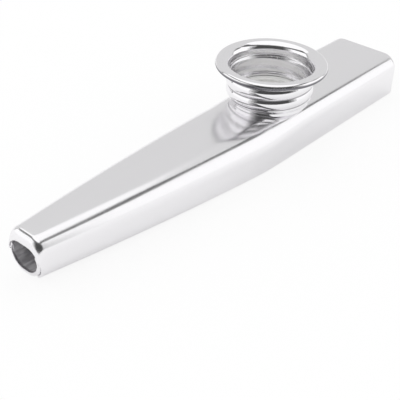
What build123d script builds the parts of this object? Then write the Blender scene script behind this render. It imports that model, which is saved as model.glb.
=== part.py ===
"""Kazoo of polished sheet aluminium: two nested shells, a threaded turret, a screw cap and a membrane.

The frame has +X from the mouth to the rear outlet, +Z up, and its origin under the middle of the body.
All lengths are millimetres.
"""
import os
from math import cos, radians, sin

from build123d import *

# Body, outside
BODY_LENGTH = 120.0
BODY_WIDTH = 20.65
BODY_HEIGHT = 10.95
MOUTH_WIDTH = 9.0
MOUTH_FLOOR_RISE = 0.88
SIDE_BOW = 0.65
KNEE_FROM_MOUTH = 63.3
KNEE_BLEND_LENGTH = 9.2
FRONT_STEPS = 6
KNEE_STEPS = 4

# Rounding of the body's long edges, where the section changes
MOUTH_TOP_RADIUS = 2.9
KNEE_TOP_RADIUS = 5.35
REAR_TOP_RADIUS = 4.1
MOUTH_LOW_RADIUS = 4.15
BODY_LOW_RADIUS = 0.6

# Shells
SHELL_SHEET = 0.5
SHELL_FIT = 0.05
MOUTH_LIP_RADIUS = 1.2
REAR_LIP_RADIUS = 2.3
LIP_TRIM = 0.05
LIP_STEPS = 5
CRIMP_WIDTH = 2.4
HOOD_EDGE_HEIGHT = 5.5
HOOD_SETBACK = 1.2
LOWER_WALL_HEIGHT = 8.2

# Turret: the collar on the top plate
TURRET_FROM_MOUTH = 75.45
TURRET_SHEET = 0.45
SOUND_HOLE_RADIUS = 7.3
SEAT_ROLL_WIDTH = 0.7
SEAT_GAP = 0.05
COLLAR_RADIUS = 10.2
COLLAR_HEIGHT = 8.2
FOOT_NECK_DEPTH = 0.7
FOOT_NECK_HEIGHT = 0.8

# Rolled thread of the collar and the cap
THREAD_PITCH = 2.7
THREAD_RISE = 0.35
THREAD_START_HEIGHT = 2.6
THREAD_END_HEIGHT = 7.4
THREAD_START_ANGLE = 133.3
THREAD_CLEARANCE = 0.12
THREAD_ROOT = 0.2
BAND_STEP = 0.25
COLLAR_RIDGE_WIDTH = 2.56
RIDGE_NARROWING = 0.26

# Screw cap
FLANGE_FLAT_WIDTH = 0.55
FLANGE_HEM_WIDTH = 1.0
FLANGE_HEM_THICKNESS = 1.3
CAP_TOP_HEIGHT = 9.95
CAP_LIP_RADIUS = 2.0
CAP_FOOT_WIDTH = 0.6
CAP_FOOT_GAP = 0.1

# Membrane
FILM_THICKNESS = 0.1
RING_THICKNESS = 0.6
RING_WIDTH = 1.7
MEMBRANE_SIDE_GAP = 0.25

# How far every cut runs past what it cuts
OVERRUN = 2.0

mouth_x = -BODY_LENGTH / 2
rear_x = BODY_LENGTH / 2
knee_x = mouth_x + KNEE_FROM_MOUTH
turret_x = mouth_x + TURRET_FROM_MOUTH


def taper(x):
    """Share of the way from the full section to the mouth's section, blended over the knee."""
    ahead = knee_x - x
    half_blend = KNEE_BLEND_LENGTH / 2
    if ahead <= -half_blend:
        return 0
    if ahead >= half_blend:
        return ahead / KNEE_FROM_MOUTH
    return (ahead + half_blend) ** 2 / (4 * half_blend * KNEE_FROM_MOUTH)


def half_width(x):
    """Half the outside width: a straight taper ahead of the knee, bowed out in its middle."""
    bow = SIDE_BOW * 4 * taper(x) * (1 - taper(x))
    return BODY_WIDTH / 2 - taper(x) * (BODY_WIDTH - MOUTH_WIDTH) / 2 + bow


def floor_height(x):
    return taper(x) * MOUTH_FLOOR_RISE


def top_radius(x):
    """Rounding of the top edges: widest at the knee, even from the turret's middle to the rear."""
    if x <= knee_x:
        forward_share = (knee_x - x) / KNEE_FROM_MOUTH
        return KNEE_TOP_RADIUS + forward_share * (MOUTH_TOP_RADIUS - KNEE_TOP_RADIUS)
    rearward_share = min((x - knee_x) / (turret_x - knee_x), 1)
    return KNEE_TOP_RADIUS + rearward_share * (REAR_TOP_RADIUS - KNEE_TOP_RADIUS)


def low_radius(x):
    return BODY_LOW_RADIUS + taper(x) * (MOUTH_LOW_RADIUS - BODY_LOW_RADIUS)


def body_stations(depth):
    """Places along the body, each with how far its section lies inside the outside surface there.

    depth is the distance of the whole surface below the outside. Both ends roll in on concentric arcs.
    """
    mouth_arc = MOUTH_LIP_RADIUS - depth
    rear_arc = REAR_LIP_RADIUS - depth
    turns = [radians(90 * step / LIP_STEPS) for step in range(LIP_STEPS + 1)]
    stations = []
    for turn in reversed(turns):
        inset = depth + mouth_arc * (1 - cos(turn))
        stations.append((mouth_x + MOUTH_LIP_RADIUS - mouth_arc * sin(turn), inset))
    front_start = mouth_x + MOUTH_LIP_RADIUS
    front_run = KNEE_FROM_MOUTH - KNEE_BLEND_LENGTH / 2 - MOUTH_LIP_RADIUS
    for step in range(1, FRONT_STEPS):
        stations.append((front_start + front_run * step / FRONT_STEPS, depth))
    for step in range(KNEE_STEPS + 1):
        stations.append((knee_x + KNEE_BLEND_LENGTH * (step / KNEE_STEPS - 1 / 2), depth))
    stations.append((turret_x, depth))
    for turn in turns:
        inset = depth + rear_arc * (1 - cos(turn))
        stations.append((rear_x - REAR_LIP_RADIUS + rear_arc * sin(turn), inset))
    return stations


def body_core(depth, open_ends=False):
    """Solid bounded by the surface that lies depth below the body's outside.

    With open ends it runs straight on through both lips, whose rolled edges it trims.
    """
    stations = body_stations(depth)
    if open_ends:
        mouth_bore = MOUTH_LIP_RADIUS - LIP_TRIM
        rear_bore = REAR_LIP_RADIUS - LIP_TRIM
        stations[0] = (stations[0][0], mouth_bore)
        stations[-1] = (stations[-1][0], rear_bore)
        stations.insert(0, (mouth_x - OVERRUN, mouth_bore))
        stations.append((rear_x + OVERRUN, rear_bore))
    with BuildPart() as core:
        for x, inset in stations:
            along = min(max(x, mouth_x), rear_x)
            low = floor_height(along) + inset
            high = BODY_HEIGHT - inset
            with BuildSketch(Plane.YZ.offset(x)):
                with Locations((0, (low + high) / 2)):
                    Rectangle(2 * (half_width(along) - inset), high - low)
                fillet(vertices().group_by(Axis.Y)[-1], top_radius(along) - inset)
                fillet(vertices().group_by(Axis.Y)[0], max(low_radius(along) - inset, SHELL_FIT))
        loft(ruled=True)
    return core.part


def plan_window(inset):
    """Plan outline of the body drawn in by inset, running past both ends."""
    stations = [mouth_x - OVERRUN] + [x for x, depth in body_stations(0)] + [rear_x + OVERRUN]
    near_side = [(x, inset - half_width(min(max(x, mouth_x), rear_x))) for x in stations]
    far_side = [(x, -y) for x, y in reversed(near_side)]
    return near_side + far_side


# Heights of the turret's levels
plate_top = BODY_HEIGHT
foot_top = plate_top + TURRET_SHEET
seat_top = foot_top + SEAT_GAP + SHELL_SHEET
film_low = seat_top + SEAT_GAP
ring_low = film_low + FILM_THICKNESS
ring_top = ring_low + RING_THICKNESS
cap_foot_low = ring_top + CAP_FOOT_GAP
collar_top = plate_top + COLLAR_HEIGHT
cap_top = plate_top + CAP_TOP_HEIGHT
flange_low = cap_top - TURRET_SHEET
hem_low = cap_top - FLANGE_HEM_THICKNESS
thread_low = plate_top + THREAD_START_HEIGHT
thread_high = plate_top + THREAD_END_HEIGHT
band_low = thread_high - THREAD_RISE / 2
band_high = thread_high + THREAD_RISE / 2
neck_top = plate_top + FOOT_NECK_HEIGHT

# Radii of the turret's walls, from the outside in
collar_bore = COLLAR_RADIUS - TURRET_SHEET
cap_radius = collar_bore - THREAD_CLEARANCE
cap_bore = cap_radius - TURRET_SHEET
neck_radius = COLLAR_RADIUS - FOOT_NECK_DEPTH
neck_bore = collar_bore - FOOT_NECK_DEPTH
band_out = THREAD_RISE + BAND_STEP
seat_tube_radius = SOUND_HOLE_RADIUS + SHELL_SHEET
seat_roll_radius = seat_tube_radius + SEAT_ROLL_WIDTH
membrane_radius = neck_bore - MEMBRANE_SIDE_GAP
under_lip = cap_radius + band_out
under_arc = CAP_LIP_RADIUS - TURRET_SHEET
hem_radius = under_lip + under_arc + FLANGE_FLAT_WIDTH
flange_radius = hem_radius + FLANGE_HEM_WIDTH
turret_plane = Plane((turret_x, 0, 0))
turret_section = Plane((turret_x, 0, 0), x_dir=(1, 0, 0), z_dir=(0, -1, 0))


def thread_ridge(wall_radius, ridge_width, low, high):
    """Helical ridge of a rolled thread that stands THREAD_RISE above a wall, between two heights."""
    turn = THREAD_START_ANGLE + 360 * (low - thread_low) / THREAD_PITCH
    foot = wall_radius - THREAD_ROOT
    crest = wall_radius + THREAD_RISE
    with BuildPart() as ridge:
        with BuildLine() as path:
            Helix(THREAD_PITCH, high - low, foot)
        with BuildSketch(Plane.XZ):
            with BuildLine():
                Line((foot, ridge_width / 2), (foot, -ridge_width / 2))
                ThreePointArc((foot, -ridge_width / 2), (crest, 0), (foot, ridge_width / 2))
            make_face()
        sweep(path=path.line, is_frenet=True)
    return Pos(turret_x, 0, low) * Rot(0, 0, turn) * ridge.part


collar_groove_width = COLLAR_RIDGE_WIDTH - 2 * RIDGE_NARROWING
cap_ridge_width = collar_groove_width - RIDGE_NARROWING
cap_groove_width = cap_ridge_width - 2 * RIDGE_NARROWING
cap_ridge_low = cap_foot_low + TURRET_SHEET + cap_ridge_width / 2
collar_ridge_high = band_high + COLLAR_RIDGE_WIDTH / 2
collar_ridge = thread_ridge(COLLAR_RADIUS, COLLAR_RIDGE_WIDTH, thread_low, collar_ridge_high)
collar_groove = thread_ridge(collar_bore, collar_groove_width, thread_low, collar_ridge_high)
cap_ridge = thread_ridge(cap_radius, cap_ridge_width, cap_ridge_low, thread_high)
cap_groove = thread_ridge(cap_bore, cap_groove_width, cap_ridge_low, thread_high)
outside = body_core(0)
inside = body_core(SHELL_SHEET, open_ends=True)
trough_outside = body_core(SHELL_SHEET + SHELL_FIT)
trough_inside = body_core(2 * SHELL_SHEET + SHELL_FIT, open_ends=True)

# Upper shell: top plate, full side walls, curled lower edges, hood at the mouth and the rolled sound hole
with BuildPart() as upper_shell:
    add(outside)
    add(inside, mode=Mode.SUBTRACT)
    with BuildSketch(Plane.XY.offset(-OVERRUN)):
        with BuildLine():
            Polyline(*plan_window(CRIMP_WIDTH), close=True)
        make_face()
    extrude(amount=OVERRUN + HOOD_EDGE_HEIGHT, mode=Mode.SUBTRACT)
    with BuildSketch(Plane.XZ):
        with BuildLine():
            Polyline(
                (mouth_x - OVERRUN, HOOD_EDGE_HEIGHT),
                (mouth_x + MOUTH_LIP_RADIUS, HOOD_EDGE_HEIGHT),
                (mouth_x + MOUTH_LIP_RADIUS + HOOD_SETBACK, -OVERRUN),
                (mouth_x - OVERRUN, -OVERRUN),
                close=True,
            )
        make_face()
    extrude(amount=BODY_WIDTH, both=True, mode=Mode.SUBTRACT)
    with BuildSketch(turret_plane.offset(plate_top - SHELL_SHEET)):
        Circle(seat_tube_radius)
    extrude(amount=seat_top - plate_top + SHELL_SHEET)
    with BuildSketch(turret_plane.offset(foot_top + SEAT_GAP)):
        Circle(seat_roll_radius)
    extrude(amount=SHELL_SHEET)
    with BuildSketch(turret_plane.offset(plate_top - SHELL_SHEET - OVERRUN)):
        Circle(SOUND_HOLE_RADIUS)
    extrude(amount=seat_top - plate_top + SHELL_SHEET + 2 * OVERRUN, mode=Mode.SUBTRACT)
upper_shell.part.label = "upper_shell"

# Lower shell: trough that nests in the upper shell
with BuildPart() as lower_shell:
    add(trough_outside)
    add(trough_inside, mode=Mode.SUBTRACT)
    with BuildSketch(Plane.XY.offset(LOWER_WALL_HEIGHT)):
        Rectangle(BODY_LENGTH + OVERRUN, BODY_WIDTH)
    extrude(amount=BODY_HEIGHT, mode=Mode.SUBTRACT)
lower_shell.part.label = "lower_shell"

# Turret collar: inward foot under the seat's roll, narrow neck, threaded wall and a plain band at the top
turret_axis = Axis((turret_x, 0, 0), (0, 0, 1))
foot_bore = seat_tube_radius + SEAT_GAP
with BuildPart() as turret_collar:
    with BuildSketch(turret_section):
        with BuildLine():
            Polyline(
                (foot_bore, plate_top),
                (neck_radius, plate_top),
                (neck_radius, neck_top),
                (COLLAR_RADIUS, neck_top + FOOT_NECK_DEPTH),
                (COLLAR_RADIUS, band_low),
                (COLLAR_RADIUS + band_out, band_high),
                (COLLAR_RADIUS + band_out, collar_top),
                (foot_bore, collar_top),
                close=True,
            )
        make_face()
    revolve(axis=turret_axis)
    add(collar_ridge)
    with BuildSketch(turret_plane.offset(collar_top)):
        Circle(flange_radius)
    extrude(amount=COLLAR_RIDGE_WIDTH + OVERRUN, mode=Mode.SUBTRACT)
    with BuildSketch(turret_section):
        with BuildLine():
            Polyline(
                (0, foot_top),
                (neck_bore, foot_top),
                (neck_bore, neck_top),
                (collar_bore, neck_top + FOOT_NECK_DEPTH),
                (collar_bore, band_low),
                (collar_bore + band_out, band_high),
                (collar_bore + band_out, collar_top + OVERRUN),
                (0, collar_top + OVERRUN),
                close=True,
            )
        make_face()
    revolve(axis=turret_axis, mode=Mode.SUBTRACT)
    add(collar_groove, mode=Mode.SUBTRACT)
turret_collar.part.label = "turret_collar"

# Screw cap: hemmed flange with a rounded inner lip, threaded tube, foot turned in over the membrane's ring
with BuildPart() as screw_cap:
    with BuildSketch(turret_section):
        with BuildLine():
            Polyline(
                (cap_bore - CAP_FOOT_WIDTH, cap_top),
                (cap_bore - CAP_FOOT_WIDTH, cap_foot_low),
                (cap_radius, cap_foot_low),
                (cap_radius, band_low),
                (under_lip, band_high),
                (under_lip, flange_low - under_arc),
            )
            RadiusArc((under_lip, flange_low - under_arc), (under_lip + under_arc, flange_low), under_arc)
            Polyline(
                (under_lip + under_arc, flange_low),
                (hem_radius, flange_low),
                (hem_radius, hem_low),
                (flange_radius, hem_low),
                (flange_radius, cap_top),
                (cap_bore - CAP_FOOT_WIDTH, cap_top),
            )
        make_face()
    revolve(axis=turret_axis)
    add(cap_ridge)
    with BuildSketch(turret_section):
        with BuildLine():
            lip_bore = cap_bore + band_out
            Polyline(
                (lip_bore, cap_top - CAP_LIP_RADIUS),
                (lip_bore, band_high),
                (cap_bore, band_low),
                (cap_bore, cap_foot_low + TURRET_SHEET),
                (0, cap_foot_low + TURRET_SHEET),
                (0, cap_top + OVERRUN),
                (lip_bore + CAP_LIP_RADIUS, cap_top + OVERRUN),
                (lip_bore + CAP_LIP_RADIUS, cap_top),
            )
            lip_top = (lip_bore + CAP_LIP_RADIUS, cap_top)
            lip_foot = (lip_bore, cap_top - CAP_LIP_RADIUS)
            RadiusArc(lip_top, lip_foot, -CAP_LIP_RADIUS)
        make_face()
    revolve(axis=turret_axis, mode=Mode.SUBTRACT)
    add(cap_groove, mode=Mode.SUBTRACT)
screw_cap.part.label = "screw_cap"

# Membrane ring: stiff rim of the vibrating disc, under the cap's foot
with BuildPart() as membrane_ring:
    with BuildSketch(turret_plane.offset(ring_low)):
        Circle(membrane_radius)
        Circle(membrane_radius - RING_WIDTH, mode=Mode.SUBTRACT)
    extrude(amount=RING_THICKNESS)
membrane_ring.part.label = "membrane_ring"

# Membrane film: thin disc glued under the ring
with BuildPart() as membrane_film:
    with BuildSketch(turret_plane.offset(film_low)):
        Circle(membrane_radius)
    extrude(amount=FILM_THICKNESS)
membrane_film.part.label = "membrane_film"

os.makedirs("parts", exist_ok=True)
export_step(upper_shell.part, "parts/upper_shell.step")
export_step(lower_shell.part, "parts/lower_shell.step")
export_step(turret_collar.part, "parts/turret_collar.step")
export_step(screw_cap.part, "parts/screw_cap.step")
export_step(membrane_ring.part, "parts/membrane_ring.step")
export_step(membrane_film.part, "parts/membrane_film.step")
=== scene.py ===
import math

import bpy
from mathutils import Matrix, Vector


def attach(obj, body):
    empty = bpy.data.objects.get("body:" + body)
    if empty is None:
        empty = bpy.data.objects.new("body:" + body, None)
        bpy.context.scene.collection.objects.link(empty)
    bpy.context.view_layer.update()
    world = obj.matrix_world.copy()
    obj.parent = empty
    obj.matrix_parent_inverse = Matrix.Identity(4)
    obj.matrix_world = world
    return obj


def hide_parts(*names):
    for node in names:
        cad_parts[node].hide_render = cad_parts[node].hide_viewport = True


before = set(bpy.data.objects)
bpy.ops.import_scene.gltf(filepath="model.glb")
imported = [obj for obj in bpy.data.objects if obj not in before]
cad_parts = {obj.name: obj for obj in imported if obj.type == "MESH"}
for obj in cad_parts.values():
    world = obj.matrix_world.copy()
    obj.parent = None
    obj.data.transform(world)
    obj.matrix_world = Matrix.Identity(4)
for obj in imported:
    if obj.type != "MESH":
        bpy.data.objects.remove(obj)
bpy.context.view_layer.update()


# Upper shell.
# The outside of the body: one sheet of aluminium pressed over a tapered former into an inverted trough. Its
# ends roll in to a lip, its lower edges curl under, and over the mouth it ends in a round hood.

# Lengths are in millimetres. Each end stops a hundredth short of the solids, to stay inside the CAD box.
MM = 0.001
SHELL_SHEET = 0.5
BODY_LENGTH = 119.98
BODY_WIDTH = 20.65
BODY_HEIGHT = 10.95
MOUTH_X = -BODY_LENGTH / 2
REAR_X = BODY_LENGTH / 2
MOUTH_WIDTH = 9.0
MOUTH_FLOOR_RISE = 0.88
MOUTH_ROLL = 1.6
LATE_ROLL = 2.0
REAR_ROLL = 2.3
KNEE_FROM_MOUTH = 63.3
KNEE_X = MOUTH_X + KNEE_FROM_MOUTH
KNEE_HALF_BLEND = 4.6
SIDE_BOW = 0.65
MOUTH_TOP_RADIUS = 2.9
KNEE_TOP_RADIUS = 5.35
REAR_TOP_RADIUS = 4.1
TURRET_FROM_MOUTH = 75.44
TURRET_X = MOUTH_X + TURRET_FROM_MOUTH
MOUTH_LOW_RADIUS = 4.15
BODY_LOW_RADIUS = 0.6
SHARPEST_CORNER = 0.05
CURL_WIDTH = 2.4
HOOD_EDGE = {"half": 4.45, "roof": 8.6, "floor": 2.0, "top": 3.3, "low": 2.5}
HOOD_EDGE_HEIGHT = 5.5
HOOD_SLANT_TOP = 0.4
HOOD_SETBACK = 1.2
HOOD_SLANT_FOOT = -2.0
HOOD_CUT_REACH = 2.0
EDGE_ROUNDING = 0.12
SLIVER = 0.03
CUT_EDGE_ANGLE = math.radians(60)
SMOOTH_ANGLE = math.radians(35)
LIP_ROWS = 20
BODY_ROWS = 90


def blend(first, last, share):
    """The value that lies a share of the way from first to last."""
    return first + (last - first) * share


def taper(x):
    """How far the body has narrowed at x: 0 behind the knee, 1 at the mouth, with a soft bend at the knee."""
    ahead = KNEE_X - x
    if ahead <= -KNEE_HALF_BLEND:
        return 0.0
    if ahead >= KNEE_HALF_BLEND:
        return ahead / KNEE_FROM_MOUTH
    return (ahead + KNEE_HALF_BLEND) ** 2 / (4 * KNEE_HALF_BLEND * KNEE_FROM_MOUTH)


def top_radius(x):
    """Rounding of the top edges: widest at the knee, even from the turret's middle to the rear."""
    if x < KNEE_X:
        return blend(KNEE_TOP_RADIUS, MOUTH_TOP_RADIUS, (KNEE_X - x) / KNEE_FROM_MOUTH)
    return blend(KNEE_TOP_RADIUS, REAR_TOP_RADIUS, min((x - KNEE_X) / (TURRET_X - KNEE_X), 1.0))


def sheet_section(station, depth, setback, mouth_edge):
    """Where a station lies and the sizes of the section there, for a sheet so deep inside the former.

    The sizes are the half width, the roof, the floor, and the radii of the upper and lower corners. The
    mouth's lip rolls in to the sizes of its edge, its sides and its floor later than the rest.
    """
    zone, value = station
    inset = depth
    if zone == "mouth":
        x = MOUTH_X + setback + (MOUTH_ROLL - setback) * (1 - math.sin(value))
    elif zone == "rear":
        reach = REAR_ROLL - depth
        x = REAR_X - REAR_ROLL + reach * math.sin(value)
        inset = depth + reach * (1 - math.cos(value))
    else:
        x = blend(MOUTH_X + MOUTH_ROLL, REAR_X - REAR_ROLL, value)
    low_radius = blend(BODY_LOW_RADIUS, MOUTH_LOW_RADIUS, taper(x))
    bow = SIDE_BOW * 4 * taper(x) * (1 - taper(x))
    size = {
        "half": blend(BODY_WIDTH, MOUTH_WIDTH, taper(x)) / 2 + bow - inset,
        "roof": BODY_HEIGHT - inset,
        "floor": MOUTH_FLOOR_RISE * taper(x) + inset,
        "top": top_radius(x) - inset,
        "low": max(low_radius - inset, SHARPEST_CORNER),
    }
    if zone == "mouth":
        roll = 1 - math.cos(value)
        rolls = {name: roll for name in size}
        rolls["half"] = roll ** LATE_ROLL
        rolls["floor"] = roll ** LATE_ROLL
        size = {name: blend(size[name], mouth_edge[name], rolls[name]) for name in size}
    return x, size


def steps(count, first=0.0, last=1.0):
    """Evenly spaced values from first up to, but without, last."""
    return [first + (last - first) * index / count for index in range(count)]


def stations(roll_steps, run_steps):
    """Where the rows of points lie: round the mouth's lip, along the body, and round the rear's lip."""
    mouth = [("mouth", turn) for turn in steps(roll_steps, math.pi / 2, 0.0)]
    run = [("run", share) for share in steps(run_steps)]
    rear = [("rear", turn) for turn in steps(roll_steps, 0.0, math.pi / 2)]
    return mouth + run + rear + [("rear", math.pi / 2)]


def press_blank(name, along, around, place):
    """A flat blank of sheet, with a point for each station and place round it, pressed to its shape."""
    columns = len(along) - 1
    rows = len(around) - 1
    bpy.ops.object.select_all(action="DESELECT")
    bpy.ops.mesh.primitive_grid_add(x_subdivisions=columns, y_subdivisions=rows, size=2)
    blank = bpy.context.object
    blank.name = name
    for point in blank.data.vertices:
        column = round((point.co.x + 1) / 2 * columns)
        row = round((point.co.y + 1) / 2 * rows)
        point.co = place(along[column], around[row]) * MM
    return blank


def upper_section(station, where):
    """A point on the upper shell's outside, by its stretch of the section and the share along it."""
    side, stretch, share = where
    x, size = sheet_section(station, 0.0, 0.0, HOOD_EDGE)
    if stretch == "low edge":
        flat = max(CURL_WIDTH - size["low"], 0.0)
        first = math.asin(max(size["low"] - CURL_WIDTH, 0.0) / size["low"])
        run = share * (flat + size["low"] * (math.pi / 2 - first))
        turn = first + max(run - flat, 0.0) / size["low"]
        across = size["half"] - size["low"] - max(flat - run, 0.0) + size["low"] * math.sin(turn)
        height = size["floor"] + size["low"] * (1 - math.cos(turn))
    elif stretch == "side":
        across = size["half"]
        height = blend(size["floor"] + size["low"], size["roof"] - size["top"], share)
    elif stretch == "top corner":
        turn = share * math.pi / 2
        across = size["half"] - size["top"] * (1 - math.cos(turn))
        height = size["roof"] - size["top"] * (1 - math.sin(turn))
    else:
        across = (size["half"] - size["top"]) * (1 - share)
        height = size["roof"]
    return Vector((x, side * across, height))


def cut_hood(shell):
    """Cuts the sheet along the hood's level edge and its slanting back, and removes the corner between."""
    edge_height = HOOD_EDGE_HEIGHT * MM
    slant_top = Vector((MOUTH_X + HOOD_SLANT_TOP, 0.0, HOOD_EDGE_HEIGHT)) * MM
    slant_foot = Vector((MOUTH_X + HOOD_SLANT_TOP + HOOD_SETBACK, 0.0, HOOD_SLANT_FOOT)) * MM
    slant_normal = (slant_foot - slant_top).cross(Vector((0.0, 1.0, 0.0))).normalized()
    bpy.ops.object.mode_set(mode="EDIT")
    bpy.ops.mesh.select_mode(type="FACE")
    bpy.ops.mesh.select_all(action="DESELECT")
    bpy.ops.object.mode_set(mode="OBJECT")
    for face in shell.data.polygons:
        face.select = face.center.x < slant_foot.x + HOOD_CUT_REACH * MM
    bpy.ops.object.mode_set(mode="EDIT")
    bpy.ops.mesh.bisect(plane_co=(0.0, 0.0, edge_height), plane_no=(0.0, 0.0, 1.0))
    bpy.ops.object.mode_set(mode="OBJECT")
    for face in shell.data.polygons:
        face.select = face.center.x < slant_foot.x + HOOD_CUT_REACH * MM and face.center.z < edge_height
    bpy.ops.object.mode_set(mode="EDIT")
    bpy.ops.mesh.bisect(plane_co=slant_top, plane_no=slant_normal)
    bpy.ops.object.mode_set(mode="OBJECT")
    for face in shell.data.polygons:
        ahead = (face.center - slant_top).dot(slant_normal) * slant_normal.x < 0
        face.select = face.center.z < edge_height and ahead
    bpy.ops.object.mode_set(mode="EDIT")
    bpy.ops.mesh.delete(type="FACE")
    bpy.ops.mesh.select_all(action="SELECT")
    bpy.ops.mesh.remove_doubles(threshold=SLIVER * MM)
    bpy.ops.object.mode_set(mode="OBJECT")


def thicken_sheet(shell):
    """Gives the pressing its sheet thickness inwards, and takes the sharpness off the sheet's cut edges."""
    wall = shell.modifiers.new("sheet", "SOLIDIFY")
    wall.thickness = SHELL_SHEET * MM
    wall.offset = -1.0
    wall.material_offset = 1
    bpy.ops.object.modifier_apply(modifier=wall.name)
    rounding = shell.modifiers.new("deburred edges", "BEVEL")
    rounding.width = EDGE_ROUNDING * MM
    rounding.segments = 3
    rounding.limit_method = "ANGLE"
    rounding.angle_limit = CUT_EDGE_ANGLE
    bpy.ops.object.modifier_apply(modifier=rounding.name)
    bpy.ops.object.shade_smooth_by_angle(angle=SMOOTH_ANGLE)


near_half = []
for stretch, count in (("low edge", 16), ("side", 8), ("top corner", 24), ("roof", 4)):
    near_half += [(-1, stretch, share) for share in steps(count)]
far_half = [(1, stretch, share) for _, stretch, share in reversed(near_half)]
upper_round = near_half + [(1, "roof", 1.0)] + far_half
upper_shell = press_blank("upper_shell_pressing", stations(LIP_ROWS, BODY_ROWS), upper_round, upper_section)
cut_hood(upper_shell)


def linear(hex_colour):
    """An sRGB hex colour as the linear RGBA that colour sockets take."""
    channels = [int(hex_colour[place:place + 2], 16) / 255 for place in (1, 3, 5)]
    return [c / 12.92 if c <= 0.04045 else ((c + 0.055) / 1.055) ** 2.4 for c in channels] + [1.0]


def blank_material(name):
    """A new material and its node tree, emptied."""
    material = bpy.data.materials.new(name)
    material.use_nodes = True
    material.node_tree.nodes.clear()
    return material, material.node_tree


def add_node(tree, kind, settings=(), sockets=(), links=()):
    """Adds a node, sets its properties and input values, and links other nodes' outputs to its inputs."""
    node = tree.nodes.new(kind)
    for name, value in dict(settings).items():
        setattr(node, name, value)
    for name, value in dict(sockets).items():
        node.inputs[name].default_value = value
    for name, output in dict(links).items():
        tree.links.new(output, node.inputs[name])
    return node


# Bright-rolled aluminium sheet, buffed along the body: a soft mirror that blurs with distance, with faint
# lengthwise buffing lines and a slightly uneven gloss. The real lines are finer than 0.1 mm and are drawn at
# about 0.3 mm.
BUFFING_LINE = 0.3
BUFFING_LENGTHWISE = 0.02
GLOSS_PATCH = 9.0

polished, tree = blank_material("buffed_aluminium_sheet")
place = add_node(tree, "ShaderNodeTexCoord")
along = add_node(
    tree, "ShaderNodeMapping", sockets={"Scale": (BUFFING_LENGTHWISE, 1.0, 1.0)},
    links={"Vector": place.outputs["Object"]},
)
lines = add_node(
    tree, "ShaderNodeTexNoise", sockets={"Scale": 1 / (BUFFING_LINE * MM), "Detail": 2.0},
    links={"Vector": along.outputs["Vector"]},
)
patches = add_node(
    tree, "ShaderNodeTexNoise", sockets={"Scale": 1 / (GLOSS_PATCH * MM), "Detail": 3.0},
    links={"Vector": place.outputs["Object"]},
)
uneven = add_node(
    tree, "ShaderNodeMix", settings={"data_type": "FLOAT"}, sockets={"Factor": 0.5},
    links={"A": lines.outputs["Fac"], "B": patches.outputs["Fac"]},
)
gloss = add_node(
    tree, "ShaderNodeMapRange", sockets={"From Min": 0.3, "From Max": 0.7, "To Min": 0.16, "To Max": 0.22},
    links={"Value": uneven.outputs["Result"]},
)
bump = add_node(
    tree, "ShaderNodeBump", sockets={"Strength": 0.03, "Distance": 0.02 * MM},
    links={"Height": lines.outputs["Fac"]},
)
metal = add_node(
    tree, "ShaderNodeBsdfPrincipled", sockets={"Base Color": linear("#F4F3F5"), "Metallic": 1.0},
    links={"Roughness": gloss.outputs["Result"], "Normal": bump.outputs["Normal"]},
)
add_node(tree, "ShaderNodeOutputMaterial", links={"Surface": metal.outputs["BSDF"]})

# The unbuffed inside of the same sheet: dulled by the press's dried lubricant, grey and streaked along the
# body, with a broken sheen. The streaks are shown at 0.6 mm, coarser than real ones.
MILL_GRAIN = 0.6
MILL_LENGTHWISE = 0.15

mill, tree = blank_material("mill_finish_aluminium")
place = add_node(tree, "ShaderNodeTexCoord")
along = add_node(
    tree, "ShaderNodeMapping", sockets={"Scale": (MILL_LENGTHWISE, 1.0, 1.0)},
    links={"Vector": place.outputs["Object"]},
)
grain = add_node(
    tree, "ShaderNodeTexNoise", sockets={"Scale": 1 / (MILL_GRAIN * MM), "Detail": 4.0},
    links={"Vector": along.outputs["Vector"]},
)
gloss = add_node(
    tree, "ShaderNodeMapRange", sockets={"From Min": 0.3, "From Max": 0.7, "To Min": 0.35, "To Max": 0.55},
    links={"Value": grain.outputs["Fac"]},
)
streak = add_node(
    tree, "ShaderNodeMapRange", sockets={"From Min": 0.4, "From Max": 0.65},
    links={"Value": grain.outputs["Fac"]},
)
colour = add_node(
    tree, "ShaderNodeMix", settings={"data_type": "RGBA"},
    sockets={"A": linear("#C6C4C8"), "B": linear("#F2F1F3")}, links={"Factor": streak.outputs["Result"]},
)
metal = add_node(
    tree, "ShaderNodeBsdfPrincipled", sockets={"Metallic": 0.4},
    links={"Base Color": colour.outputs["Result"], "Roughness": gloss.outputs["Result"]},
)
add_node(tree, "ShaderNodeOutputMaterial", links={"Surface": metal.outputs["BSDF"]})

upper_shell.data.materials.append(polished)
upper_shell.data.materials.append(mill)
thicken_sheet(upper_shell)

# The sound hole is punched through the top plate, under the turret. Its edge is drawn up into a tube that is
# rolled over the collar's foot.
PLATE_TOP = BODY_HEIGHT
SOUND_HOLE_RADIUS = 7.3
SEAT_TUBE_RADIUS = SOUND_HOLE_RADIUS + SHELL_SHEET
SEAT_ROLL_RADIUS = 8.5
SEAT_LOW = PLATE_TOP + 0.5
SEAT_TOP = PLATE_TOP + 1.0
PUNCH_DEPTH = 4.0
OUTLINE_STEP = 0.4
ARC_STEP = math.radians(7.5)
WELD_DISTANCE = 0.0001
LATHE_SEGMENTS = 128
LATHE_SMOOTH_ANGLE = math.radians(40)

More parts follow.
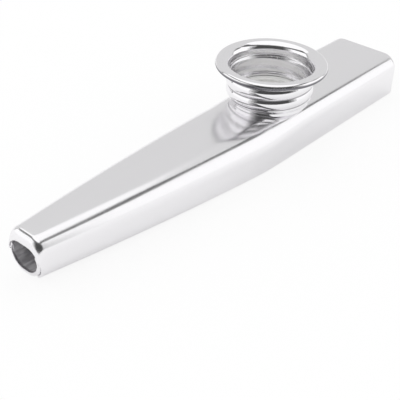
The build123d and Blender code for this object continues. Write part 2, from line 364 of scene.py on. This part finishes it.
bpy.ops.object.select_all(action="DESELECT")
bpy.ops.mesh.primitive_cylinder_add(
    vertices=LATHE_SEGMENTS, radius=(SEAT_TUBE_RADIUS - SLIVER) * MM, depth=PUNCH_DEPTH * MM,
    location=(TURRET_X * MM, 0.0, PLATE_TOP * MM),
)
punch = bpy.context.object
bpy.ops.object.select_all(action="DESELECT")
bpy.context.view_layer.objects.active = upper_shell
upper_shell.select_set(True)
hole = upper_shell.modifiers.new("sound hole", "BOOLEAN")
hole.operation = "DIFFERENCE"
hole.object = punch
bpy.ops.object.modifier_apply(modifier=hole.name)
bpy.data.objects.remove(punch, do_unlink=True)
bpy.ops.object.shade_smooth_by_angle(angle=SMOOTH_ANGLE)


def rounded_outline(corners, longest_step):
    """A closed outline from (radius, height, rounding) corners: arcs at the corners, short steps between."""
    arcs = []
    for index, (radius, height, rounding) in enumerate(corners):
        here = Vector((radius, height))
        before = (Vector(corners[index - 1][:2]) - here).normalized()
        after = (Vector(corners[(index + 1) % len(corners)][:2]) - here).normalized()
        half_angle = before.angle(after) / 2
        reach = rounding / math.tan(half_angle)
        centre = here + (before + after).normalized() * rounding / math.sin(half_angle)
        first = here + before * reach - centre
        last = here + after * reach - centre
        swing = first.angle_signed(last)
        count = max(2, math.ceil(abs(swing) / ARC_STEP))
        arcs.append([centre + Matrix.Rotation(-swing * share, 2) @ first for share in steps(count) + [1.0]])
    points = []
    for index, arc in enumerate(arcs):
        points += arc
        gap = arcs[(index + 1) % len(arcs)][0] - arc[-1]
        count = max(1, math.ceil(gap.length / longest_step))
        points += [arc[-1] + gap * share for share in steps(count)[1:]]
    return points


def lathe(name, outline, segments):
    """A piece turned about the turret's axis: a ring of points moved onto its outline, then spun round."""
    bpy.ops.object.select_all(action="DESELECT")
    bpy.ops.mesh.primitive_circle_add(vertices=len(outline), radius=1.0)
    piece = bpy.context.object
    piece.name = name
    for point, (radius, height) in zip(piece.data.vertices, outline):
        point.co = Vector((TURRET_X + radius, 0.0, height)) * MM
    bpy.ops.object.mode_set(mode="EDIT")
    bpy.ops.mesh.select_all(action="SELECT")
    bpy.ops.mesh.spin(
        steps=segments, angle=2 * math.pi, center=(TURRET_X * MM, 0.0, 0.0), axis=(0.0, 0.0, 1.0)
    )
    bpy.ops.mesh.select_all(action="SELECT")
    bpy.ops.mesh.remove_doubles(threshold=WELD_DISTANCE * MM)
    bpy.ops.mesh.normals_make_consistent(inside=False)
    bpy.ops.object.mode_set(mode="OBJECT")
    bpy.ops.object.shade_smooth_by_angle(angle=LATHE_SMOOTH_ANGLE)
    return piece


seat_corners = [
    (SOUND_HOLE_RADIUS, PLATE_TOP - SHELL_SHEET, 0.1),
    (SEAT_TUBE_RADIUS, PLATE_TOP - SHELL_SHEET, 0.1),
    (SEAT_TUBE_RADIUS, SEAT_LOW, 0.1),
    (SEAT_ROLL_RADIUS, SEAT_LOW, 0.15),
    (SEAT_ROLL_RADIUS, SEAT_TOP, 0.2),
    (SOUND_HOLE_RADIUS, SEAT_TOP, 0.4),
]
seat = lathe("sound_hole_roll", rounded_outline(seat_corners, OUTLINE_STEP), LATHE_SEGMENTS)
seat.data.materials.append(polished)
bpy.ops.object.select_all(action="DESELECT")
seat.select_set(True)
upper_shell.select_set(True)
bpy.context.view_layer.objects.active = upper_shell
bpy.ops.object.join()

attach(upper_shell, "body")
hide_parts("upper_shell")


# Lower shell.
# A second pressing nested inside the first: a trough whose walls spring against the upper shell's sides, with
# its own rolled lip below the hood. Same sheet, same finish, held by the curled edges.

SHELL_FIT = 0.05
LOWER_DEPTH = SHELL_SHEET + SHELL_FIT
LOWER_WALL_HEIGHT = 8.2
TROUGH_EDGE = {"half": 3.75, "roof": 8.2, "floor": 2.5, "top": 2.9, "low": 3.2}
TROUGH_EDGE_HEIGHT = 7.0
TROUGH_FLOOR_SETBACK = 0.02
TROUGH_WALL_SETBACK = 0.08


def lower_section(station, where):
    """A point on the lower shell's outside, by its stretch of the section and the share along it."""
    side, stretch, share = where
    raised = {"wall": 1.0, "low corner": share}.get(stretch, 0.0)
    setback = blend(TROUGH_FLOOR_SETBACK, TROUGH_WALL_SETBACK, raised)
    x, size = sheet_section(station, LOWER_DEPTH, setback, TROUGH_EDGE)
    if stretch == "floor":
        across = (size["half"] - size["low"]) * share
        height = size["floor"]
    elif stretch == "low corner":
        turn = share * math.pi / 2
        across = size["half"] - size["low"] * (1 - math.sin(turn))
        height = size["floor"] + size["low"] * (1 - math.cos(turn))
    else:
        zone, value = station
        curl = 1 - math.cos(value) if zone == "mouth" else 0.0
        wall_top = blend(LOWER_WALL_HEIGHT, TROUGH_EDGE_HEIGHT, curl)
        height = blend(size["floor"] + size["low"], wall_top, share)
        above_side = max(height - (size["roof"] - size["top"]), 0.0) / size["top"]
        across = size["half"] - size["top"] * (1 - math.sqrt(max(1 - above_side ** 2, 0.0)))
    return Vector((x, side * across, height))


near_half = []
for stretch, count in (("floor", 6), ("low corner", 16), ("wall", 12)):
    near_half += [(-1, stretch, share) for share in steps(count)]
near_half.append((-1, "wall", 1.0))
far_half = [(1, stretch, share) for _, stretch, share in reversed(near_half[1:])]
lower_round = far_half + near_half
lower_shell = press_blank("lower_shell_pressing", stations(LIP_ROWS, BODY_ROWS), lower_round, lower_section)
lower_shell.data.materials.append(polished)
lower_shell.data.materials.append(mill)
thicken_sheet(lower_shell)

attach(lower_shell, "body")
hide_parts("lower_shell")


# Turret collar.
# The threaded neck on the top plate: a drawn aluminium cup with its bottom punched out, held by the sound
# hole's roll. The thread is rolled into its wall, which widens upwards, and ends below a plain band.

TURRET_SHEET = 0.45
FOOT_BORE = SEAT_TUBE_RADIUS + 0.05
NECK_RADIUS = 9.5
NECK_TOP = PLATE_TOP + 0.8
WALL_LOW = PLATE_TOP + 1.5
WALL_LOW_RADIUS = 9.95
WALL_HIGH_RADIUS = 10.4
COLLAR_BORE = 9.75
BAND_LOW = PLATE_TOP + 7.2
BAND_HIGH = PLATE_TOP + 7.6
BAND_OUT = 0.6
BAND_RADIUS = COLLAR_BORE + BAND_OUT + TURRET_SHEET
COLLAR_TOP = PLATE_TOP + 8.2
THREAD_PITCH = 2.7
THREAD_START_HEIGHT = PLATE_TOP + 2.6
THREAD_START_ANGLE = math.radians(133.3)
THREAD_RISE = 0.35
COLLAR_FIRST_TURN = -0.6
COLLAR_BULGE = 0.45
RIDGE_WIDTH = 2.5
RIDGE_RUN_IN = 0.12
THREAD_ROW = 0.13
THREAD_SEGMENTS = 192


def roll_thread(piece, first_turn, middle_radius, rise_outside, rise_inside):
    """Presses the thread into the walls of a turned tube, from first_turn up to the plain band."""
    for point in piece.data.vertices:
        out = Vector((point.co.x / MM - TURRET_X, point.co.y / MM))
        height = point.co.z / MM
        angle = math.atan2(out.y, out.x) - THREAD_START_ANGLE
        crest = THREAD_START_HEIGHT + THREAD_PITCH * angle / (2 * math.pi)
        crest += THREAD_PITCH * round((height - crest) / THREAD_PITCH)
        turn = (crest - THREAD_START_HEIGHT) / THREAD_PITCH
        run_in = min(max((turn - first_turn) / RIDGE_RUN_IN, 0.0), 1.0)
        run_out = min(max((BAND_HIGH - height) / (BAND_HIGH - BAND_LOW), 0.0), 1.0)
        rise = rise_outside if out.length > middle_radius else rise_inside
        bulge = rise * max(1 - (2 * (height - crest) / RIDGE_WIDTH) ** 2, 0.0) * run_in * run_out
        wider = 1 + bulge / out.length
        point.co.x = (TURRET_X + out.x * wider) * MM
        point.co.y = out.y * wider * MM


collar_corners = [
    (FOOT_BORE, PLATE_TOP, 0.1),
    (NECK_RADIUS, PLATE_TOP, 0.15),
    (NECK_RADIUS, NECK_TOP, 0.3),
    (WALL_LOW_RADIUS, WALL_LOW, 0.4),
    (WALL_HIGH_RADIUS, BAND_LOW, 0.3),
    (BAND_RADIUS, BAND_HIGH, 0.3),
    (BAND_RADIUS, COLLAR_TOP, 0.2),
    (BAND_RADIUS - TURRET_SHEET, COLLAR_TOP, 0.2),
    (BAND_RADIUS - TURRET_SHEET, BAND_HIGH, 0.25),
    (COLLAR_BORE, BAND_LOW, 0.25),
    (COLLAR_BORE, WALL_LOW, 0.3),
    (NECK_RADIUS - TURRET_SHEET, NECK_TOP, 0.3),
    (NECK_RADIUS - TURRET_SHEET, PLATE_TOP + TURRET_SHEET, 0.15),
    (FOOT_BORE, PLATE_TOP + TURRET_SHEET, 0.1),
]
collar = lathe("threaded_collar", rounded_outline(collar_corners, THREAD_ROW), THREAD_SEGMENTS)
roll_thread(collar, COLLAR_FIRST_TURN, (COLLAR_BORE + WALL_LOW_RADIUS) / 2, COLLAR_BULGE, THREAD_RISE)

# Turned and buffed aluminium: a brighter mirror than the shells, with faint rings left by buffing on the
# lathe, and painted shade: grey painted into a narrow band along the valleys of the thread. The real
# rings are finer than 0.1 mm and are shown at 0.25 mm.
RING_LINE = 0.25
VALLEY_SHADE_LOW = WALL_LOW - 0.3
VALLEY_SHADE_WIDTH_SHARE = 0.09

turned, tree = blank_material("lathe_buffed_aluminium")
place = add_node(tree, "ShaderNodeTexCoord")
centred = add_node(
    tree, "ShaderNodeMapping", sockets={"Location": (-TURRET_X * MM, 0.0, 0.0)},
    links={"Vector": place.outputs["Object"]},
)
parts = add_node(tree, "ShaderNodeSeparateXYZ", links={"Vector": centred.outputs["Vector"]})
flat = add_node(tree, "ShaderNodeCombineXYZ", links={"X": parts.outputs["X"], "Y": parts.outputs["Y"]})
reach = add_node(
    tree, "ShaderNodeVectorMath", settings={"operation": "LENGTH"}, links={"Vector": flat.outputs["Vector"]}
)
ringed = add_node(tree, "ShaderNodeCombineXYZ", links={"X": reach.outputs["Value"], "Z": parts.outputs["Z"]})
rings = add_node(
    tree, "ShaderNodeTexNoise", sockets={"Scale": 1 / (RING_LINE * MM), "Detail": 2.0},
    links={"Vector": ringed.outputs["Vector"]},
)
# From here the tree paints shade into the thread: it finds each point's place in the thread's turn and paints
# grey near the valleys, from just below the wall's foot up to the plain band.
angle = add_node(
    tree, "ShaderNodeMath", settings={"operation": "ARCTAN2"},
    links={0: parts.outputs["Y"], 1: parts.outputs["X"]},
)
climb = add_node(
    tree, "ShaderNodeMath", settings={"operation": "MULTIPLY_ADD"},
    sockets={
        1: -THREAD_PITCH * MM / (2 * math.pi),
        2: THREAD_PITCH * MM * THREAD_START_ANGLE / (2 * math.pi),
    },
    links={0: angle.outputs["Value"]},
)
unrolled = add_node(
    tree, "ShaderNodeMath", settings={"operation": "ADD"},
    links={0: parts.outputs["Z"], 1: climb.outputs["Value"]},
)
turn = add_node(
    tree, "ShaderNodeMath", settings={"operation": "MULTIPLY_ADD"},
    sockets={1: 1 / (THREAD_PITCH * MM), 2: -THREAD_START_HEIGHT / THREAD_PITCH},
    links={0: unrolled.outputs["Value"]},
)
from_valley = add_node(
    tree, "ShaderNodeMath", settings={"operation": "PINGPONG"}, sockets={1: 0.5},
    links={0: turn.outputs["Value"]},
)
valley = add_node(
    tree, "ShaderNodeMapRange", settings={"interpolation_type": "SMOOTHSTEP"},
    sockets={"From Min": 0.5 - VALLEY_SHADE_WIDTH_SHARE, "From Max": 0.5, "To Min": 0.0, "To Max": 1.0},
    links={"Value": from_valley.outputs["Value"]},
)
threaded = add_node(
    tree, "ShaderNodeMath", settings={"operation": "COMPARE"},
    sockets={1: (VALLEY_SHADE_LOW + BAND_HIGH) / 2 * MM, 2: (BAND_HIGH - VALLEY_SHADE_LOW) / 2 * MM},
    links={0: parts.outputs["Z"]},
)
painted_valley_shade = add_node(
    tree, "ShaderNodeMath", settings={"operation": "MULTIPLY"},
    links={0: valley.outputs["Result"], 1: threaded.outputs["Value"]},
)
# Painted shade: the thread's valleys take the grey colour.
colour = add_node(
    tree, "ShaderNodeMix", settings={"data_type": "RGBA"},
    sockets={"A": linear("#F4F3F5"), "B": linear("#8C8B8E")}, links={"Factor": painted_valley_shade.outputs["Value"]},
)
gloss = add_node(
    tree, "ShaderNodeMapRange", sockets={"From Min": 0.3, "From Max": 0.7, "To Min": 0.06, "To Max": 0.12},
    links={"Value": rings.outputs["Fac"]},
)
bump = add_node(
    tree, "ShaderNodeBump", sockets={"Strength": 0.03, "Distance": 0.02 * MM},
    links={"Height": rings.outputs["Fac"]},
)
metal = add_node(
    tree, "ShaderNodeBsdfPrincipled", sockets={"Metallic": 1.0},
    links={
        "Base Color": colour.outputs["Result"],
        "Roughness": gloss.outputs["Result"],
        "Normal": bump.outputs["Normal"],
    },
)
add_node(tree, "ShaderNodeOutputMaterial", links={"Surface": metal.outputs["BSDF"]})
collar.data.materials.append(turned)

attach(collar, "body")
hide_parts("turret_collar")


# Membrane.
# The vibrating disc lies loose on the rolled edge of the sound hole, under the cap: a stiff white moulded rim
# with a thin milky film glued under it.

FILM_LOW = SEAT_TOP + 0.05
FILM_THICKNESS = 0.1
FILM_EDGE = 0.03
RING_LOW = FILM_LOW + FILM_THICKNESS
RING_THICKNESS = 0.6
MEMBRANE_RADIUS = 8.8
RING_INNER = 7.1

ring_corners = [
    (RING_INNER, RING_LOW, 0.1),
    (MEMBRANE_RADIUS, RING_LOW, 0.1),
    (MEMBRANE_RADIUS, RING_LOW + RING_THICKNESS, 0.2),
    (RING_INNER, RING_LOW + RING_THICKNESS, 0.2),
]
ring = lathe("membrane_rim", rounded_outline(ring_corners, OUTLINE_STEP), LATHE_SEGMENTS)

# Moulded polystyrene: an even satin white, its gloss broken by the fine texture of the mould. The texture is
# shown at 0.3 mm, coarser than the real one.
RIM_TEXTURE = 0.3

rim_plastic, tree = blank_material("satin_white_polystyrene")
place = add_node(tree, "ShaderNodeTexCoord")
texture = add_node(
    tree, "ShaderNodeTexNoise", sockets={"Scale": 1 / (RIM_TEXTURE * MM), "Detail": 3.0},
    links={"Vector": place.outputs["Object"]},
)
gloss = add_node(
    tree, "ShaderNodeMapRange", sockets={"To Min": 0.3, "To Max": 0.45},
    links={"Value": texture.outputs["Fac"]},
)
plastic = add_node(
    tree, "ShaderNodeBsdfPrincipled", sockets={"Base Color": linear("#F1F1EF"), "IOR": 1.59},
    links={"Roughness": gloss.outputs["Result"]},
)
add_node(tree, "ShaderNodeOutputMaterial", links={"Surface": plastic.outputs["BSDF"]})
ring.data.materials.append(rim_plastic)
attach(ring, "membrane")
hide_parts("membrane_ring")

bpy.ops.object.select_all(action="DESELECT")
bpy.ops.mesh.primitive_cylinder_add(
    vertices=LATHE_SEGMENTS, radius=MEMBRANE_RADIUS * MM, depth=FILM_THICKNESS * MM
)
film = bpy.context.object
film.name = "membrane_disc"
bpy.ops.object.mode_set(mode="EDIT")
bpy.ops.mesh.select_all(action="SELECT")
bpy.ops.transform.translate(value=(TURRET_X * MM, 0.0, (FILM_LOW + FILM_THICKNESS / 2) * MM))
bpy.ops.object.mode_set(mode="OBJECT")
trimmed = film.modifiers.new("cut edge", "BEVEL")
trimmed.width = FILM_EDGE * MM
trimmed.segments = 2
bpy.ops.object.modifier_apply(modifier=trimmed.name)
bpy.ops.object.shade_smooth_by_angle(angle=LATHE_SMOOTH_ANGLE)

# Blown polyethylene film: milky and slightly crinkled, so that its soft gloss wavers.
FILM_CRINKLE = 2.5

film_plastic, tree = blank_material("milky_polyethylene_film")
place = add_node(tree, "ShaderNodeTexCoord")
crinkle = add_node(
    tree, "ShaderNodeTexNoise", sockets={"Scale": 1 / (FILM_CRINKLE * MM), "Detail": 3.0},
    links={"Vector": place.outputs["Object"]},
)
bump = add_node(
    tree, "ShaderNodeBump", sockets={"Strength": 0.2, "Distance": 0.05 * MM},
    links={"Height": crinkle.outputs["Fac"]},
)
plastic = add_node(
    tree, "ShaderNodeBsdfPrincipled",
    sockets={"Base Color": linear("#E9E9E7"), "Roughness": 0.35, "IOR": 1.51},
    links={"Normal": bump.outputs["Normal"]},
)
add_node(tree, "ShaderNodeOutputMaterial", links={"Surface": plastic.outputs["BSDF"]})
film.data.materials.append(film_plastic)
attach(film, "membrane")
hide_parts("membrane_film")


# Screw cap.
# A flanged tube of the same drawn aluminium: its rolled thread fits the collar's, its foot turns in to press
# on the membrane's rim, and its top turns out over a rounded lip into a flat flange with a hemmed edge.

CAP_GAP = 0.12
CAP_RADIUS = COLLAR_BORE - CAP_GAP
CAP_BORE = 9.42
CAP_FOOT_LOW = PLATE_TOP + 1.85
CAP_FOOT_BORE = 8.58
CAP_FIRST_TURN = 0.22
CAP_INNER_BULGE = 0.28
CAP_TOP = PLATE_TOP + 9.95
CAP_LIP_RADIUS = 2.0
LIP_BORE = CAP_RADIUS + BAND_OUT - TURRET_SHEET
FLANGE_LOW = CAP_TOP - TURRET_SHEET
FLANGE_RADIUS = 13.325
HEM_WIDTH = 1.0
HEM_THICKNESS = 1.3
HEM_INNER = FLANGE_RADIUS - HEM_WIDTH
HEM_LOW = CAP_TOP - HEM_THICKNESS
INNER_SHOULDER_HIGH = BAND_HIGH - 0.2
INNER_SHOULDER_LOW = BAND_LOW - 1.0

cap_corners = [
    (CAP_FOOT_BORE, CAP_FOOT_LOW, 0.1),
    (CAP_RADIUS, CAP_FOOT_LOW, 0.5),
    (CAP_RADIUS, BAND_LOW, 0.25),
    (CAP_RADIUS + BAND_OUT, BAND_HIGH, 0.25),
    (CAP_RADIUS + BAND_OUT, FLANGE_LOW, CAP_LIP_RADIUS - TURRET_SHEET),
    (HEM_INNER, FLANGE_LOW, 0.1),
    (HEM_INNER, HEM_LOW, 0.2),
    (FLANGE_RADIUS, HEM_LOW, 0.4),
    (FLANGE_RADIUS, CAP_TOP, 0.85),
    (LIP_BORE, CAP_TOP, CAP_LIP_RADIUS),
    (LIP_BORE, INNER_SHOULDER_HIGH, 0.9),
    (CAP_BORE, INNER_SHOULDER_LOW, 0.9),
    (CAP_BORE, CAP_FOOT_LOW + TURRET_SHEET, 0.1),
    (CAP_FOOT_BORE, CAP_FOOT_LOW + TURRET_SHEET, 0.1),
]
cap = lathe("flanged_screw_cap", rounded_outline(cap_corners, THREAD_ROW), THREAD_SEGMENTS)
roll_thread(cap, CAP_FIRST_TURN, (CAP_BORE + CAP_RADIUS) / 2, THREAD_RISE, CAP_INNER_BULGE)

# The cap's tube is left as drawn inside: satin, with fine marks of the die running down it, shown at 0.35 mm,
# coarser than real ones. The polish of the lip fades out as the lip turns down into the tube.
DIE_MARK = 0.35
DIE_LENGTHWISE = 0.2
POLISH_START = CAP_TOP - 0.9
POLISH_END = CAP_TOP - 2.4

drawn, tree = blank_material("as_drawn_aluminium")
place = add_node(tree, "ShaderNodeTexCoord")
along = add_node(
    tree, "ShaderNodeMapping", sockets={"Scale": (1.0, 1.0, DIE_LENGTHWISE)},
    links={"Vector": place.outputs["Object"]},
)
marks = add_node(
    tree, "ShaderNodeTexNoise", sockets={"Scale": 1 / (DIE_MARK * MM), "Detail": 3.0},
    links={"Vector": along.outputs["Vector"]},
)
parts = add_node(tree, "ShaderNodeSeparateXYZ", links={"Vector": place.outputs["Object"]})
depth = add_node(
    tree, "ShaderNodeMapRange",
    sockets={"From Min": POLISH_END * MM, "From Max": POLISH_START * MM, "To Min": 0.24, "To Max": 0.08},
    links={"Value": parts.outputs["Z"]},
)
gloss = add_node(
    tree, "ShaderNodeMath", settings={"operation": "MULTIPLY_ADD"}, sockets={1: 0.05},
    links={0: marks.outputs["Fac"], 2: depth.outputs["Result"]},
)
bump = add_node(
    tree, "ShaderNodeBump", sockets={"Strength": 0.5, "Distance": 0.03 * MM},
    links={"Height": marks.outputs["Fac"]},
)
metal = add_node(
    tree, "ShaderNodeBsdfPrincipled", sockets={"Base Color": linear("#F6F5F7"), "Metallic": 1.0},
    links={"Roughness": gloss.outputs["Value"], "Normal": bump.outputs["Normal"]},
)
add_node(tree, "ShaderNodeOutputMaterial", links={"Surface": metal.outputs["BSDF"]})

# The lower half of the hem, tucked under the flange's edge, is painted dark grey and fades up into the
# polished colour: painted shade under the flange's edge. Its gloss varies in soft patches.
HEM_SHADE_START = HEM_LOW + 0.85
HEM_SHADE_END = HEM_LOW + 0.6
HEM_GLOSS_PATCH = 1.5

hem_shade, tree = blank_material("hem_with_painted_shade")
place = add_node(tree, "ShaderNodeTexCoord")
parts = add_node(tree, "ShaderNodeSeparateXYZ", links={"Vector": place.outputs["Object"]})
depth = add_node(
    tree, "ShaderNodeMapRange", sockets={"From Min": HEM_SHADE_END * MM, "From Max": HEM_SHADE_START * MM},
    links={"Value": parts.outputs["Z"]},
)
colour = add_node(
    tree, "ShaderNodeMix", settings={"data_type": "RGBA"},
    sockets={"A": linear("#77767B"), "B": linear("#F4F3F5")}, links={"Factor": depth.outputs["Result"]},
)
patches = add_node(
    tree, "ShaderNodeTexNoise", sockets={"Scale": 1 / (HEM_GLOSS_PATCH * MM), "Detail": 2.0},
    links={"Vector": place.outputs["Object"]},
)
gloss = add_node(
    tree, "ShaderNodeMapRange", sockets={"From Min": 0.3, "From Max": 0.7, "To Min": 0.12, "To Max": 0.3},
    links={"Value": patches.outputs["Fac"]},
)
metal = add_node(
    tree, "ShaderNodeBsdfPrincipled", sockets={"Metallic": 1.0},
    links={"Base Color": colour.outputs["Result"], "Roughness": gloss.outputs["Result"]},
)
add_node(tree, "ShaderNodeOutputMaterial", links={"Surface": metal.outputs["BSDF"]})
cap.data.materials.append(turned)
cap.data.materials.append(drawn)
cap.data.materials.append(hem_shade)
# The tube's inside below the polish takes the drawn finish, and the hem's faces under the flange's edge take
# the painted shade.
for face in cap.data.polygons:
    out = Vector((face.center.x / MM - TURRET_X, face.center.y / MM))
    inwards = face.normal.x * out.x + face.normal.y * out.y < 0
    if inwards and face.center.z / MM < POLISH_START:
        face.material_index = 1
    elif out.length > HEM_INNER and face.center.z / MM < HEM_SHADE_START:
        face.material_index = 2

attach(cap, "cap")
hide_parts("screw_cap")


# Studio.
# A wide white floor under an even white sky. Cards that only reflections see stand round it like a tent: a
# grey back wall, dark seams at its corners and gaps above its walls, and an open front with dimmed sides.

FLOOR_HALF = 4000.0
FLOOR_DROP = 0.05
BACKLIGHT_SHARE = 0.86
MIRRORED_SHARE = 0.2
SKY_STRENGTH = 1.1

bpy.ops.object.select_all(action="DESELECT")
bpy.ops.mesh.primitive_grid_add(
    x_subdivisions=8, y_subdivisions=8, size=2 * FLOOR_HALF * MM, location=(0.0, 0.0, -FLOOR_DROP * MM)
)
floor = bpy.context.object
floor.name = "floor"
white, tree = blank_material("white_paper_floor")
paper = add_node(tree, "ShaderNodeBsdfDiffuse", sockets={"Color": linear("#F4F4F4")})
glow = add_node(tree, "ShaderNodeEmission", sockets={"Color": (1.0, 1.0, 1.0, 1.0), "Strength": 1.0})
rays = add_node(tree, "ShaderNodeLightPath")
reflected = add_node(
    tree, "ShaderNodeMath", settings={"operation": "MAXIMUM"},
    links={0: rays.outputs["Is Glossy Ray"], 1: rays.outputs["Is Transmission Ray"]},
)
mirrored = add_node(
    tree, "ShaderNodeMath", settings={"operation": "MULTIPLY"}, sockets={1: MIRRORED_SHARE},
    links={0: reflected.outputs["Value"]},
)
share = add_node(
    tree, "ShaderNodeMath", settings={"operation": "MULTIPLY_ADD"}, sockets={1: BACKLIGHT_SHARE},
    links={0: rays.outputs["Is Camera Ray"], 2: mirrored.outputs["Value"]},
)
table = add_node(
    tree, "ShaderNodeMixShader",
    links={0: share.outputs["Value"], 1: paper.outputs["BSDF"], 2: glow.outputs["Emission"]},
)
add_node(tree, "ShaderNodeOutputMaterial", links={"Surface": table.outputs["Shader"]})
floor.data.materials.append(white)

scene = bpy.context.scene
world = bpy.data.worlds.new("even_white_sky")
scene.world = world
world.use_nodes = True
sky = world.node_tree.nodes["Background"]
sky.inputs["Color"].default_value = (1.0, 1.0, 1.0, 1.0)
sky.inputs["Strength"].default_value = SKY_STRENGTH

CAMERA_AZIMUTH = math.radians(-49.77)
CAMERA_ELEVATION = math.radians(34.77)
CAMERA_ROLL = math.radians(2.02)
CAMERA_DISTANCE = 198.81
CAMERA_TARGET = Vector((-8.9, 0.0, -6.86))
FOCAL_PIXELS = 842.7
IMAGE_PIXELS = 400
SENSOR = 36.0
CAMERA_NEAR = 5.0
DOME_RADIUS = 1000.0
CARD_STEPS = 12

away = Vector((-math.sin(CAMERA_AZIMUTH), math.cos(CAMERA_AZIMUTH), 0.0))
sideways = Vector((away.y, -away.x, 0.0))
upwards = Vector((0.0, 0.0, 1.0))


def tent_card(name, left, right, glow):
    """A card on a dome round the object, seen by reflections alone.

    Its left and right edges are (turn, low, high): degrees to the right of straight back, and degrees above
    the horizon.
    """
    bpy.ops.object.select_all(action="DESELECT")
    bpy.ops.mesh.primitive_grid_add(x_subdivisions=CARD_STEPS, y_subdivisions=CARD_STEPS, size=2)
    card = bpy.context.object
    card.name = name
    for point in card.data.vertices:
        turn, low, high = [blend(first, last, (point.co.x + 1) / 2) for first, last in zip(left, right)]
        turn = math.radians(turn)
        rise = math.radians(blend(low, high, (point.co.y + 1) / 2))
        level_spot = away * math.cos(turn) + sideways * math.sin(turn)
        point.co = (level_spot * math.cos(rise) + upwards * math.sin(rise)) * DOME_RADIUS * MM
    paint, card_tree = blank_material(name)
    light = add_node(
        card_tree, "ShaderNodeEmission", sockets={"Color": (1.0, 1.0, 1.0, 1.0), "Strength": glow}
    )
    add_node(card_tree, "ShaderNodeOutputMaterial", links={"Surface": light.outputs["Emission"]})
    card.data.materials.append(paint)
    card.visible_camera = False
    card.visible_diffuse = False
    card.visible_shadow = False


FRONT_RIGHT = 134.0
FRONT_LEFT = 216.0
FRONT_LOW = -5.0
FRONT_HIGH = 42.0
DIM_STEP = 7.0
DIM_GLOWS = (0.2, 0.4, 0.7)

tent_card("grey_back_wall", (-64.0, 0.0, 42.0), (57.0, 0.0, 59.0), 0.73)
tent_card("dark_right_seam", (53.0, 0.0, 25.0), (59.0, 0.0, 28.0), 0.08)
tent_card("dark_right_corner", (52.0, 23.0, 38.0), (73.5, 39.0, 55.0), 0.08)
tent_card("dark_right_eave", (62.0, 47.0, 60.0), (132.0, 45.0, 58.0), 0.12)
tent_card("dark_front_eave", (132.0, 42.0, 57.0), (222.0, 40.0, 54.0), 0.1)
tent_card(
    "dark_open_front", (FRONT_RIGHT, FRONT_LOW, FRONT_HIGH), (FRONT_LEFT, FRONT_LOW, FRONT_HIGH), 0.07
)
for step, glow in enumerate(DIM_GLOWS):
    near_turn = DIM_STEP * step
    far_turn = DIM_STEP * (step + 1)
    tent_card(
        f"dim_right_of_front_{step}", (FRONT_RIGHT - far_turn, FRONT_LOW, FRONT_HIGH),
        (FRONT_RIGHT - near_turn, FRONT_LOW, FRONT_HIGH), glow,
    )
    tent_card(
        f"dim_left_of_front_{step}", (FRONT_LEFT + near_turn, FRONT_LOW, FRONT_HIGH),
        (FRONT_LEFT + far_turn, FRONT_LOW, FRONT_HIGH), glow,
    )
tent_card("dark_left_eave", (-138.0, 38.0, 52.0), (-66.0, 35.0, 49.0), 0.12)
tent_card("dark_left_seam", (-68.0, 0.0, 42.0), (-60.0, 0.0, 42.0), 0.15)

back = Vector((
    math.sin(CAMERA_AZIMUTH) * math.cos(CAMERA_ELEVATION),
    -math.cos(CAMERA_AZIMUTH) * math.cos(CAMERA_ELEVATION),
    math.sin(CAMERA_ELEVATION),
))
level = Vector((math.cos(CAMERA_AZIMUTH), math.sin(CAMERA_AZIMUTH), 0.0))
above = back.cross(level)
right = level * math.cos(CAMERA_ROLL) + above * math.sin(CAMERA_ROLL)
top = above * math.cos(CAMERA_ROLL) - level * math.sin(CAMERA_ROLL)
camera_data = bpy.data.cameras.new("photo_camera")
camera_data.sensor_width = SENSOR
camera_data.lens = FOCAL_PIXELS / IMAGE_PIXELS * SENSOR
camera_data.clip_start = CAMERA_NEAR * MM
camera = bpy.data.objects.new("photo_camera", camera_data)
scene.collection.objects.link(camera)
camera.matrix_world = Matrix((right, top, back)).transposed().to_4x4()
camera.location = (CAMERA_TARGET + back * CAMERA_DISTANCE) * MM
scene.camera = camera
scene.view_settings.view_transform = "Standard"
